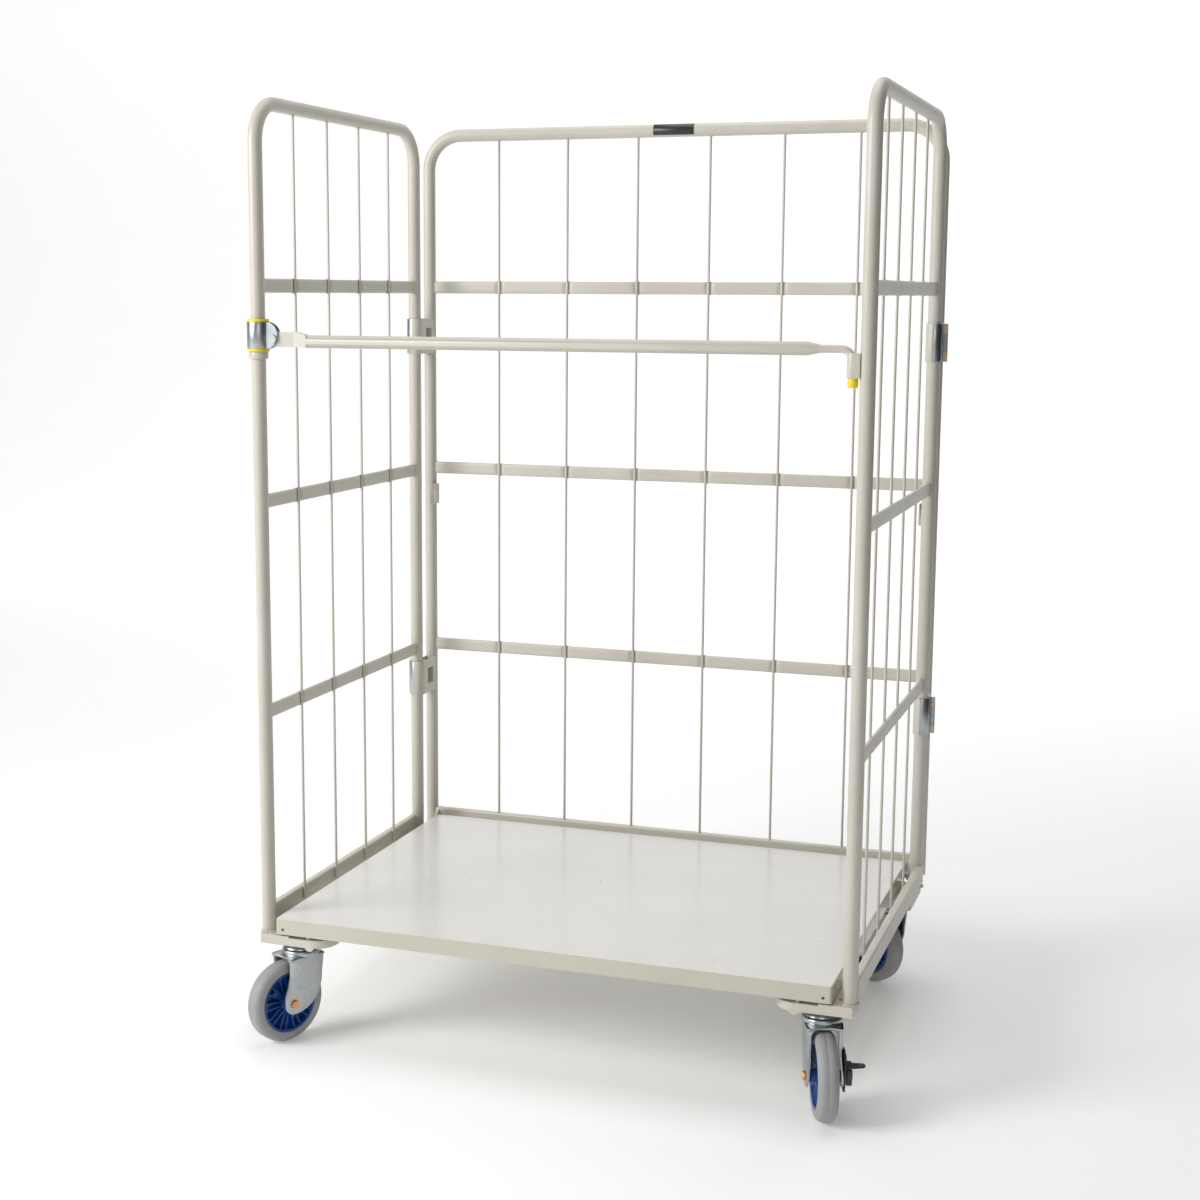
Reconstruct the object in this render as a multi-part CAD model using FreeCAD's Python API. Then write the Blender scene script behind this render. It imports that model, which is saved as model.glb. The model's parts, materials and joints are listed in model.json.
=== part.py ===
"""Roll cage container: three wire mesh panels, a flip-up steel deck, a front bar and four casters.

World axes in mm: +X to the right, +Y to the back, +Z up, origin on the floor below the middle
of the cage.
"""

import FreeCAD, Part
import math
import os

from FreeCAD import Vector

# Whole cage
HEIGHT = 1700.0
TUBE_R = 12.7
TUBE_WALL = 1.6
BEND_R = 70.0
WELD_GAP = 0.02  # keeps welded neighbours from sharing volume
RUN_GAP = 0.3  # air between turning shells and the tube inside them

# Side panels
SIDE_X = 537.3
SIDE_POST_Y = 341.0
SIDE_TOP_Z = HEIGHT - TUBE_R
SIDE_FOOT_Z = 202.0
SIDE_WIRES_Y = (-204.6, -68.2, 68.2, 204.6)

# Back panel, whose posts stand behind the side panels' back posts
BACK_X = 533.0
BACK_Y = 412.0
BACK_TOP_Z = 1684.0
BACK_FOOT_Z = 206.0
BACK_WIRES_X = (-375.0, -225.0, -75.0, 75.0, 225.0, 375.0)

# Rails and wires of every panel
RAIL_ZS = (611.0, 993.0, 1373.0)
RAIL_H = 25.0
RAIL_D = 10.0
WIRE_R = 2.5
WIRE_IN = 3.5  # wires run on the inner side of the rails
LOW_RAIL_Z0 = 208.0
LOW_RAIL_Z1 = 246.0
LOW_RAIL_D = 15.0
LOW_RAIL_CORNER = 4.0

# Hinges between the back panel and the side panels
HINGE_ZS = (547.0, 1272.0)
HINGE_H = 72.0
SHELL_IN = TUBE_R + RUN_GAP
SHELL_T = 2.6
FLANGE_OUT = 24.0
HINGE_PLATE = 3.0
BOLT_R = 4.0

# Deck
DECK_TOP = 236.0
DECK_BOTTOM = 206.0
DECK_HALF_X = 511.0
DECK_Y0 = -366.0
DECK_Y1 = 388.0
DECK_T = 2.0
DECK_HINGE_Y = 370.0
DECK_HINGE_Z = 212.0
DECK_PIN_R = 5.0
DECK_PIN_FIT = 0.08
ARM_X0 = 514.5
ARM_X1 = 519.5
CATCH_Z = 938.0
CATCH_H = 42.0

# Caster brackets and casters
BRACKET_X0 = 410.0
BRACKET_X1 = 545.0
BRACKET_Y0 = 234.0
BRACKET_Y1 = 361.0
BRACKET_STEP_X = 488.0
BRACKET_Z0 = 184.0
BRACKET_LOW_Z = 198.5
BRACKET_T = 3.2
BRACKET_R = 38.0
SWIVEL_X = 486.5
SWIVEL_Y = 314.0
PLATE_BACK = 12.0  # the top plate's middle lies inward of the swivel
WHEEL_R = 75.0
TREAD_W = 35.0
HUB_R = 56.0
TRAIL = 38.0
AXLE_R = 5.0
PEDAL_PIVOT = 18.0  # height of the pedal's pin over the axle
FORK_IN = 28.0
FORK_T = 3.5
CROWN_Z0 = 154.5
CROWN_Z1 = 159.0
RACE_Z1 = 171.0
BOLT_END_Z = 178.0

# corner name, side of x, side of y, heading of the trailing wheel in degrees, side of the brake
CASTERS = (
    ("front_left", -1, -1, 242.0, -1),
    ("front_right", 1, -1, 289.0, 1),
    ("rear_left", -1, 1, 118.0, 0),
    ("rear_right", 1, 1, 150.0, 0),
)

# Front bar, in the plane of the front posts
BAR_Z = 1277.0
BAR_R = 11.0
BAR_END_R = 6.3
PIN_X = -506.0
TIP_X = 513.5
NECK_X0 = 440.0
NECK_X1 = 462.0
TIP_BEND = 20.0
TIP_Z = 1216.0
CLAMP_Z0 = 1263.5
CLAMP_Z1 = 1310.0
CLAMP_R = 19.7
CLAMP_T = 2.7
EAR_GAP = 4.0
EAR_R = 23.5


def box(x0, x1, y0, y1, z0, z1):
    """A block between two corners."""
    low = Vector(min(x0, x1), min(y0, y1), min(z0, z1))
    return Part.makeBox(abs(x1 - x0), abs(y1 - y0), abs(z1 - z0), low)


def rod(start, axis, length, radius):
    """A solid cylinder from a start point along an axis."""
    return Part.makeCylinder(radius, length, Vector(*start), Vector(*axis))


def ring(start, axis, length, r_out, r_in):
    """A hollow cylinder from a start point along an axis."""
    return rod(start, axis, length, r_out).cut(rod(start, axis, length, r_in))


def merge(shapes):
    """Shapes fused into one solid with clean faces."""
    whole = shapes[0].multiFuse(shapes[1:]) if len(shapes) > 1 else shapes[0]
    return whole.removeSplitter()


def prism(points, direction):
    """A flat outline extruded along a vector."""
    outline = Part.makePolygon([Vector(*p) for p in points + [points[0]]])
    return Part.Face(outline).extrude(Vector(*direction))


def export(name, shapes):
    """One STEP file from one shape or from several separate solids."""
    solids = []
    for shape in shapes if isinstance(shapes, list) else [shapes]:
        solids.extend(shape.Solids)
    for solid in solids:
        if not solid.isValid() or solid.Volume < 1.0:
            raise ValueError("bad solid in " + name)
    shape = solids[0] if len(solids) == 1 else Part.makeCompound(solids)
    shape.exportStep("parts/" + name + ".step")


def quarter_bend(centre, spin, start, r_out, r_in):
    """A quarter turn of tube about a centre, from a start point on its own centreline."""
    heading = Vector(*spin).cross(Vector(*start) - Vector(*centre))
    section = Part.Face(Part.Wire(Part.makeCircle(r_out, Vector(*start), heading)))
    if r_in:
        section = section.cut(Part.Face(Part.Wire(Part.makeCircle(r_in, Vector(*start), heading))))
    return section.revolve(Vector(*centre), Vector(*spin), 90)


def hoop(half, foot_z, top_z, place, r_out, r_in):
    """An inverted U of tube in the plane of `half` and z; `place` turns (u, z) into (x, y, z)."""
    across = Vector(*place(1, 0)) - Vector(*place(0, 0))
    flat = half - BEND_R
    knee = top_z - BEND_R
    pieces = []
    for side in (-1, 1):
        foot = place(side * half, foot_z)
        post = rod(foot, (0, 0, 1), knee - foot_z, r_out)
        if r_in:
            post = post.cut(rod(foot, (0, 0, 1), knee - foot_z, r_in))
        pieces.append(post)
        spin = across.cross(Vector(0, 0, 1)) * (-side)
        centre = place(side * flat, knee)
        pieces.append(quarter_bend(centre, (-spin.x, -spin.y, -spin.z), place(side * half, knee), r_out, r_in))
    top = rod(place(-flat, top_z), tuple(across), 2 * flat, r_out)
    if r_in:
        top = top.cut(rod(place(-flat, top_z), tuple(across), 2 * flat, r_in))
    pieces.append(top)
    return merge(pieces)


def flat_oval(start, length, along_x, height, depth):
    """A rail with rounded top and bottom edges, lying along X or along Y."""
    x, y, z = start
    r = depth / 2
    body_z0 = z - height / 2 + r
    body_z1 = z + height / 2 - r
    if along_x:
        body = box(x, x + length, y - r, y + r, body_z0, body_z1)
        axis = (1, 0, 0)
    else:
        body = box(x - r, x + r, y, y + length, body_z0, body_z1)
        axis = (0, 1, 0)
    ends = [rod((x, y, level), axis, length, r) for level in (body_z0, body_z1)]
    return merge([body] + ends)


def low_rail(start, length, along_x):
    """The tall bottom rail, a flattened tube with rounded corners."""
    x, y, z = start
    half = LOW_RAIL_D / 2
    height = LOW_RAIL_Z1 - LOW_RAIL_Z0
    if along_x:
        rail = box(x, x + length, y - half, y + half, z, z + height)
        edges = [e for e in rail.Edges if abs(e.tangentAt(e.FirstParameter).x) > 0.99]
    else:
        rail = box(x - half, x + half, y, y + length, z, z + height)
        edges = [e for e in rail.Edges if abs(e.tangentAt(e.FirstParameter).y) > 0.99]
    return rail.makeFillet(LOW_RAIL_CORNER, edges)


def make_panel(name, half, foot_z, top_z, place, along_x, wires_u, low_u, wire_u):
    """Frame, rails, bottom rail and wires of one panel, each written as its own node.

    `place` gives the world point of (u, z) on the panel's centre plane; `low_u` and `wire_u`
    are the bottom rail's and the wires' offsets from that plane, outward positive.
    """
    frame = hoop(half, foot_z, top_z, place, TUBE_R, TUBE_R - TUBE_WALL)
    solid = hoop(half, foot_z, top_z, place, TUBE_R + WELD_GAP, 0)

    def shifted(u, z, offset):
        x, y, level = place(u, z)
        return (x, y + offset, level) if along_x else (x + offset, y, level)

    wires = []
    for u in wires_u:
        wire = rod(shifted(u, LOW_RAIL_Z0 + 14, wire_u), (0, 0, 1), top_z - LOW_RAIL_Z0 - 14, WIRE_R)
        wires.append(wire.cut(solid))
    notches = Part.makeCompound(
        [rod(shifted(u, LOW_RAIL_Z0 + 13, wire_u), (0, 0, 1), top_z, WIRE_R + WELD_GAP) for u in wires_u]
    )
    rails = []
    for z in RAIL_ZS:
        rail = flat_oval(place(-half, z), 2 * half, along_x, RAIL_H, RAIL_D)
        rails.append(rail.cut(solid).cut(notches))
    bottom = low_rail(shifted(-half, LOW_RAIL_Z0, low_u), 2 * half, along_x)
    export(name + "_frame", frame)
    export(name + "_rails", rails)
    export(name + "_bottom_rail", bottom.cut(solid).cut(notches))
    export(name + "_wires", wires)


def make_back_panel():
    """The panel across the back, and the blank plate on its top tube."""
    def place(u, z):
        return (u, BACK_Y, z)

    make_panel("back", BACK_X, BACK_FOOT_Z, BACK_TOP_Z, place, True, BACK_WIRES_X, 0, -WIRE_IN)
    half = 42.0
    plate = ring((-half, BACK_Y, BACK_TOP_Z), (1, 0, 0), 2 * half, TUBE_R + 0.9, TUBE_R + 0.05)
    front = box(-half, half, BACK_Y - 20, BACK_Y - 5, BACK_TOP_Z - 9, BACK_TOP_Z + 13)
    export("label_plate", plate.common(front))


def make_side_panel(name, side):
    """A side panel; side is -1 on the left and 1 on the right."""
    def place(u, z):
        return (side * SIDE_X, u, z)

    out = side * (14.0 - LOW_RAIL_D / 2)
    make_panel(name, SIDE_POST_Y, SIDE_FOOT_Z, SIDE_TOP_Z, place, False, SIDE_WIRES_Y, out, -side * WIRE_IN)


def make_hinges():
    """Brackets, outer straps and bolts of the four hinges that carry the side panels."""
    brackets, straps, bolts = [], [], []
    shell_out = SHELL_IN + SHELL_T
    flange_y = SIDE_POST_Y + SHELL_IN + SHELL_T
    plate_y = flange_y + HINGE_PLATE
    for side in (-1, 1):
        for z in HINGE_ZS:
            z0 = z - HINGE_H / 2
            z1 = z + HINGE_H / 2
            axis_x = side * SIDE_X
            inner_x = side * (SIDE_X - shell_out)
            post = rod((side * BACK_X, BACK_Y, z0 - 1), (0, 0, 1), HINGE_H + 2, TUBE_R + WELD_GAP)
            full = ring((axis_x, SIDE_POST_Y, z0), (0, 0, 1), HINGE_H, shell_out, SHELL_IN)
            inside = box(axis_x, axis_x - side * 30, SIDE_POST_Y - 30, SIDE_POST_Y + 30, z0, z1)
            outside = box(axis_x + side * 0.2, axis_x + side * 30, SIDE_POST_Y - 30, SIDE_POST_Y + 30, z0, z1)
            shell = full.common(inside)
            back = box(inner_x, side * (SIDE_X + FLANGE_OUT), flange_y + 0.1, plate_y, z0, z1)
            wall = box(inner_x, inner_x + side * HINGE_PLATE, SIDE_POST_Y + 3, BACK_Y, z0, z1)
            wall = wall.cut(rod((axis_x, SIDE_POST_Y, z0), (0, 0, 1), HINGE_H, shell_out - 0.5))
            window = box(inner_x - side, inner_x + side * 4, plate_y + 5, BACK_Y - TUBE_R - 6, z - 17, z + 17)
            outer = box(side * (SIDE_X + 4), side * (SIDE_X + 7), plate_y - 1, BACK_Y, z0, z1)
            bracket = merge([shell, back, wall.cut(window), outer]).cut(post)
            brackets.append(max(bracket.Solids, key=lambda s: s.Volume))
            flange = box(axis_x + side * 4, side * (SIDE_X + FLANGE_OUT), flange_y - SHELL_T, flange_y, z0, z1)
            bore = rod((axis_x, SIDE_POST_Y, z0), (0, 0, 1), HINGE_H, SHELL_IN)
            straps.append(merge([full.common(outside), flange.cut(bore)]))
            for level in (z - 22, z + 22):
                hole = (side * (SIDE_X + 19.5), flange_y - 10, level)
                shank = rod(hole, (0, 1, 0), 30, 2.5)
                brackets[-1] = brackets[-1].cut(shank)
                straps[-1] = straps[-1].cut(shank)
                head = rod((hole[0], flange_y - SHELL_T - 2.2, level), (0, 1, 0), 2.2, 4.0)
                pin = rod((hole[0], flange_y - SHELL_T, level), (0, 1, 0), SHELL_T + HINGE_PLATE, 2.45)
                tail = rod((hole[0], plate_y, level), (0, 1, 0), 1.8, 3.6)
                bolts.append(merge([head, pin, tail]))
            bolt_y = (plate_y + BACK_Y - TUBE_R) / 2
            wall_x = side * (SIDE_X + 4)
            through = rod((wall_x - side * 8, bolt_y, z), (side, 0, 0), 20, BOLT_R)
            brackets[-1] = brackets[-1].cut(through)
            head = rod((wall_x - side * 5, bolt_y, z), (side, 0, 0), 5, 6.5)
            shank = rod((wall_x, bolt_y, z), (side, 0, 0), HINGE_PLATE, BOLT_R - 0.05)
            nut = rod((wall_x + side * HINGE_PLATE, bolt_y, z), (side, 0, 0), 4, 6.0)
            bolts.append(merge([head, shank, nut]))
    export("hinge_brackets", brackets)
    export("hinge_straps", straps)
    export("hinge_bolts", bolts)


def make_deck_supports():
    """Catches for the raised deck, and the arms and pins on which it turns."""
    catches, arms, pins = [], [], []
    rail_front = BACK_Y - LOW_RAIL_D / 2
    for side in (-1, 1):
        z0 = CATCH_Z - CATCH_H / 2
        z1 = CATCH_Z + CATCH_H / 2
        post = rod((side * BACK_X, BACK_Y, z0 - 1), (0, 0, 1), CATCH_H + 2, TUBE_R + WELD_GAP)
        web = box(side * 513.5, side * 516.5, 378, BACK_Y, z0, z1)
        web = web.cut(box(side * 512, side * 518, 384, 392, CATCH_Z - 11, CATCH_Z + 9))
        tongue = box(side * 513.5, side * 524, 396.5, 399.5, z0, z1)
        lip = box(side * 513.5, side * 521, 378, 381, z0, z0 + 16)
        catches.append(max(merge([web, tongue, lip]).cut(post).Solids, key=lambda s: s.Volume))
        outline = [
            (side * ARM_X0, rail_front - WELD_GAP, LOW_RAIL_Z0 + 2),
            (side * ARM_X0, rail_front - WELD_GAP, LOW_RAIL_Z1 - 4),
            (side * ARM_X0, DECK_HINGE_Y + 4, DECK_HINGE_Z + 9),
            (side * ARM_X0, DECK_HINGE_Y + 4, DECK_HINGE_Z - 3),
        ]
        arm = prism(outline, (side * (ARM_X1 - ARM_X0), 0, 0))
        eye = rod((side * ARM_X0, DECK_HINGE_Y, DECK_HINGE_Z), (side, 0, 0), ARM_X1 - ARM_X0, 9)
        hole = rod((side * (ARM_X0 - 1), DECK_HINGE_Y, DECK_HINGE_Z), (side, 0, 0), 10, DECK_PIN_R)
        arms.append(merge([arm, eye]).cut(hole))
        pin = rod((side * 503, DECK_HINGE_Y, DECK_HINGE_Z), (side, 0, 0), ARM_X1 - 503, DECK_PIN_R)
        head = rod((side * ARM_X1, DECK_HINGE_Y, DECK_HINGE_Z), (side, 0, 0), 1.5, DECK_PIN_R + 2.5)
        pins.append(merge([pin, head]))
    export("deck_catches", catches)
    export("deck_hinge_arms", arms)
    export("deck_hinge_pins", pins)


def make_deck():
    """The pressed sheet deck and the ribs welded under it."""
    outer = box(-DECK_HALF_X, DECK_HALF_X, DECK_Y0, DECK_Y1, DECK_BOTTOM, DECK_TOP)
    uprights = [e for e in outer.Edges if abs(e.tangentAt(e.FirstParameter).z) > 0.99]
    outer = outer.makeFillet(4.0, uprights)
    top = [e for e in outer.Edges if e.BoundBox.ZMin > DECK_TOP - 0.01]
    outer = outer.makeFillet(2.5, top)
    t = DECK_T
    inner = box(
        t - DECK_HALF_X, DECK_HALF_X - t, DECK_Y0 + t, DECK_Y1 - t, DECK_BOTTOM - 1, DECK_TOP - t
    )
    pan = outer.cut(inner)
    cutters = []
    for side in (-1, 1):
        pin = (side * (DECK_HALF_X - 5), DECK_HINGE_Y, DECK_HINGE_Z)
        cutters.append(rod(pin, (side, 0, 0), 10, DECK_PIN_R + DECK_PIN_FIT))
        cutters.append(rod((side * 497, DECK_Y0 - 1, DECK_BOTTOM + 9), (0, 1, 0), 6, 2.8))
    for cutter in cutters:
        pan = pan.cut(cutter)
    ribs = []
    z1 = DECK_TOP - t - WELD_GAP
    z0 = DECK_BOTTOM
    wall = 2.0
    for y in (-346.0, -110.0, 110.0, 346.0):
        half = 14.0
        end = DECK_HALF_X - t - 12
        rib = box(-end, end, y - half, y + half, z0, z1)
        hollow = box(-end - 1, end + 1, y - half + wall, y + half - wall, z0 + wall, z1 + 1)
        ribs.append(rib.cut(hollow))
    export("deck_sheet", pan)
    export("deck_ribs", ribs)


def make_caster_bracket(name, side, way):
    """A pressed channel, open downward, that joins a post's foot to a caster."""
    def block(x0, x1, y0, y1, z0, z1):
        return box(side * x0, side * x1, way * y0, way * y1, z0, z1)

    def rounded(x0, x1, y0, y1, z0, z1, r):
        body = block(x0, x1, y0, y1, z0, z1)
        edges = []
        for edge in body.Edges:
            upright = abs(edge.tangentAt(edge.FirstParameter).z) > 0.99
            if upright and abs(edge.CenterOfMass.x) < x0 + 1:
                edges.append(edge)
        return body.makeFillet(r, edges)

    t = BRACKET_T
    low = rounded(BRACKET_X0, BRACKET_STEP_X + 1, BRACKET_Y0, BRACKET_Y1, BRACKET_Z0, BRACKET_LOW_Z, BRACKET_R)
    high = block(BRACKET_STEP_X, BRACKET_X1, BRACKET_Y0, BRACKET_Y1, BRACKET_Z0, SIDE_FOOT_Z)
    pocket = rounded(
        BRACKET_X0 + t, BRACKET_X1 - t, BRACKET_Y0 + t, BRACKET_Y1 - t,
        BRACKET_Z0 - 1, BRACKET_LOW_Z - t, BRACKET_R - t
    )
    tab_at = (side * 447.0, way * (BRACKET_Y1 - t), BRACKET_Z0 + 3)
    tab = rod(tab_at, (0, way, 0), t, 9).cut(block(430, 465, 300, 400, BRACKET_Z0 + 3, BRACKET_Z0 + 20))
    channel = merge([low, high]).cut(pocket)
    stud = rod((side * 452, way * 353, BRACKET_LOW_Z - 1), (0, 0, 1), DECK_BOTTOM - 0.2 - BRACKET_LOW_Z + 1, 4)
    bracket = merge([channel, tab, stud])
    bolts = []
    for dx in (-36, 36):
        for dy in (-22, 22):
            at = (side * SWIVEL_X + dx, way * (SWIVEL_Y - PLATE_BACK) + dy, BRACKET_LOW_Z - t - 3.6)
            bracket = bracket.cut(rod(at, (0, 0, 1), 15, 4.1))
            top = BRACKET_LOW_Z if abs(at[0]) < BRACKET_STEP_X - 7 else SIDE_FOOT_Z
            bolts.append((at, top))
    export(name + "_caster_bracket", bracket)
    return bolts


def make_caster(name, side, way, heading, brake, bolts):
    """Top plate, fork, axle, hub and tyre of a caster, with its brake where it has one."""
    x = side * SWIVEL_X
    y = way * SWIVEL_Y
    plate_z1 = BRACKET_LOW_Z - BRACKET_T
    plate_z0 = plate_z1 - 3.5
    plate_y = way * (SWIVEL_Y - PLATE_BACK)
    plate = box(x - 46, x + 46, plate_y - 34, plate_y + 34, plate_z0, plate_z1)
    uprights = [e for e in plate.Edges if abs(e.tangentAt(e.FirstParameter).z) > 0.99]
    plate = plate.makeFillet(8, uprights)
    dome = Part.makeCone(34, 25, BRACKET_Z0 - RACE_Z1, Vector(x, y, RACE_Z1), Vector(0, 0, 1))
    neck = rod((x, y, BRACKET_Z0), (0, 0, 1), plate_z0 - BRACKET_Z0, 25)
    for at, top in bolts:
        plate = plate.cut(rod((at[0], at[1], plate_z0 - 1), (0, 0, 1), 6, 4.1))
    kingpin = rod((x, y, CROWN_Z0 - 6), (0, 0, 1), plate_z0 - CROWN_Z0 + 6, 8)
    nut = rod((x, y, CROWN_Z0 - 6.5), (0, 0, 1), 6, 11)
    export(name + "_caster_plate", merge([plate, dome, neck, kingpin, nut]))

    def turned(shape):
        """Local x is the trailing direction from the swivel; local y is along the axle."""
        shape.rotate(Vector(0, 0, 0), Vector(0, 0, 1), heading)
        shape.translate(Vector(x, y, 0))
        return shape

    crown = rod((0, 0, CROWN_Z0), (0, 0, 1), CROWN_Z1 - CROWN_Z0, 33)
    race = ring((0, 0, CROWN_Z1), (0, 0, 1), RACE_Z1 - CROWN_Z1 - 1.5, 36, 31)
    legs = []
    for hand in (-1, 1):
        outline = [
            (-27, hand * FORK_IN, CROWN_Z1),
            (27, hand * FORK_IN, CROWN_Z1),
            (30, hand * FORK_IN, 150),
            (TRAIL + 13, hand * FORK_IN, WHEEL_R + 4),
            (TRAIL + 10, hand * FORK_IN, WHEEL_R - 9),
            (TRAIL, hand * FORK_IN, WHEEL_R - 13),
            (TRAIL - 11, hand * FORK_IN, WHEEL_R - 8),
            (-16, hand * FORK_IN, 112),
            (-25, hand * FORK_IN, 135),
        ]
        legs.append(prism(outline, (0, hand * FORK_T, 0)))
    shoulder = box(-20, 20, -FORK_IN - FORK_T, FORK_IN + FORK_T, CROWN_Z0, CROWN_Z1)
    fork = merge([crown, race, shoulder] + legs)
    fork = fork.cut(rod((0, 0, CROWN_Z0 - 1), (0, 0, 1), 8, 8 + RUN_GAP))
    fork = fork.cut(rod((TRAIL, -60, WHEEL_R), (0, 1, 0), 120, AXLE_R + 0.02))
    export(name + "_fork", turned(fork))

    out = FORK_IN + FORK_T
    shaft = rod((TRAIL, -out, WHEEL_R), (0, 1, 0), 2 * out, AXLE_R)
    hand = brake or 1
    head = rod((TRAIL, -hand * out, WHEEL_R), (0, -hand, 0), 4.5, 8.5)
    nut = rod((TRAIL, hand * out, WHEEL_R), (0, hand, 0), 5.0, 8.0)
    export(name + "_axle", turned(merge([head, shaft, nut])))

    half = TREAD_W / 2
    centre = (TRAIL, -half, WHEEL_R)
    rim = ring(centre, (0, 1, 0), TREAD_W, HUB_R, HUB_R - 5)
    web = ring((TRAIL, -3, WHEEL_R), (0, 1, 0), 6, HUB_R - 4, 14)
    boss = rod((TRAIL, -FORK_IN + 0.5, WHEEL_R), (0, 1, 0), 2 * FORK_IN - 1, 15)
    spokes = []
    for k in range(10):
        spoke = box(TRAIL + 14, TRAIL + HUB_R - 4, -half + 2, half - 2, WHEEL_R - 1.5, WHEEL_R + 1.5)
        spoke.rotate(Vector(TRAIL, 0, WHEEL_R), Vector(0, 1, 0), 36 * k)
        spokes.append(spoke)
    hub = merge([rim, web, boss] + spokes)
    hub = hub.cut(rod((TRAIL, -40, WHEEL_R), (0, 1, 0), 80, AXLE_R + 0.06))
    export(name + "_hub", turned(hub))

    tyre = ring(centre, (0, 1, 0), TREAD_W, WHEEL_R, HUB_R + WELD_GAP)
    rims = [e for e in tyre.Edges if abs(e.Length - 2 * math.pi * WHEEL_R) < 1]
    export(name + "_tyre", turned(tyre.makeFillet(10, rims)))

    if brake:
        make_brake(name, brake, turned)


def make_brake(name, hand, turned):
    """The brake plate on a fork leg and the pedal that turns on it; `hand` is the leg's side."""
    out = FORK_IN + FORK_T
    z = WHEEL_R
    pivot = z + PEDAL_PIVOT
    outline = [(-14, 45), (5, 45), (15, 22), (16, -6), (8, -27), (-10, -24)]
    points = [(TRAIL + u, hand * (out + WELD_GAP), z + v) for u, v in outline]
    plate = prism(points, (0, hand * 3, 0)).cut(rod((TRAIL, hand * (out - 1), z), (0, hand, 0), 8, 8.2))
    stub = rod((TRAIL, hand * (out + 3), pivot), (0, hand, 0), 22, 3.5)
    export(name + "_brake_plate", turned(merge([plate, stub])))
    eye = rod((TRAIL, hand * (out + 3.4), pivot), (0, hand, 0), 10, 7.5)
    tread = box(TRAIL - 11, TRAIL + 13, hand * (out + 6), hand * (out + 38), pivot - 3.5, pivot + 1.5)
    corners = [e for e in tread.Edges if abs(e.tangentAt(e.FirstParameter).z) > 0.99]
    tread = tread.makeFillet(6, corners)
    outline = [(-6, 20), (8, 20), (9, 3), (2, -17), (-7, -13)]
    points = [(TRAIL + u, hand * (out + 5.6), z + v) for u, v in outline]
    cam = prism(points, (0, hand * 9.4, 0))
    bore = rod((TRAIL, hand * out, pivot), (0, hand, 0), 60, 3.5 + 0.06)
    export(name + "_brake_pedal", turned(merge([eye, tread, cam]).cut(bore)))


def make_casters():
    """Brackets, bolts and casters at the four corners."""
    all_bolts = {-1: [], 1: []}
    for name, side, way, heading, brake in CASTERS:
        bolts = make_caster_bracket(name, side, way)
        make_caster(name, side, way, heading, brake, bolts)
        for at, top in bolts:
            head = rod((at[0], at[1], top), (0, 0, 1), 3.0, 6.5)
            shank = rod((at[0], at[1], BOLT_END_Z), (0, 0, 1), top - BOLT_END_Z + 0.5, 4.0)
            nut = rod((at[0], at[1], at[2] - 7.0), (0, 0, 1), 7.0, 6.5)
            all_bolts[side].append(merge([head, shank, nut]))
    export("left_caster_bolts", all_bolts[-1])
    export("right_caster_bolts", all_bolts[1])


def make_bar_clamp():
    """The strap clamp on the left front post that carries the bar, with its bushes and pin."""
    post = (-SIDE_X, -SIDE_POST_Y)
    inner = CLAMP_R - CLAMP_T
    height = CLAMP_Z1 - CLAMP_Z0
    y0 = post[1] - EAR_GAP - CLAMP_T
    y1 = post[1] + EAR_GAP + CLAMP_T
    mid_z = (CLAMP_Z0 + CLAMP_Z1) / 2
    band = ring((post[0], post[1], CLAMP_Z0), (0, 0, 1), height, CLAMP_R, inner)
    ear_x = post[0] + inner
    ear = rod((ear_x, y0, mid_z), (0, 1, 0), y1 - y0, EAR_R)
    ear = ear.common(box(ear_x, ear_x + 40, y0, y1, CLAMP_Z0, CLAMP_Z1))
    slot = box(post[0] + 5, ear_x + 60, post[1] - EAR_GAP, post[1] + EAR_GAP, CLAMP_Z0 - 1, CLAMP_Z1 + 1)
    bore = rod((post[0], post[1], CLAMP_Z0), (0, 0, 1), height, inner)
    strap = merge([band, ear.cut(bore)]).cut(slot)
    hole = rod((PIN_X, y0 - 1, BAR_Z + 4), (0, 1, 0), 20, 4.0)
    export("clamp_strap", strap.cut(hole))
    bushes = []
    for z0, z1, lip in ((CLAMP_Z0 - 5, CLAMP_Z0 + 18, -1), (CLAMP_Z1 - 18, CLAMP_Z1 + 5, 1)):
        tube = ring((post[0], post[1], z0), (0, 0, 1), z1 - z0, inner - WELD_GAP, TUBE_R + 0.08)
        lip_z = z0 if lip < 0 else z1 - 5
        rim = ring((post[0], post[1], lip_z), (0, 0, 1), 5 - WELD_GAP, CLAMP_R - 0.6, TUBE_R + 0.08)
        if lip > 0:
            rim.translate(Vector(0, 0, WELD_GAP))
        bushes.append(merge([tube, rim]))
    export("clamp_bushes", bushes)
    shank = rod((PIN_X, y0, BAR_Z + 4), (0, 1, 0), y1 - y0, 3.95)
    heads = [
        rod((PIN_X, y0 - 3, BAR_Z + 4), (0, 1, 0), 3, 7.5),
        rod((PIN_X, y1, BAR_Z + 4), (0, 1, 0), 3, 7.5),
    ]
    export("clamp_pin", merge([shank] + heads))
    collar = ring((post[0], post[1], CLAMP_Z0 - 17.5), (0, 0, 1), 12, 17, TUBE_R + WELD_GAP)
    export("bar_collar", collar)


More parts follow.
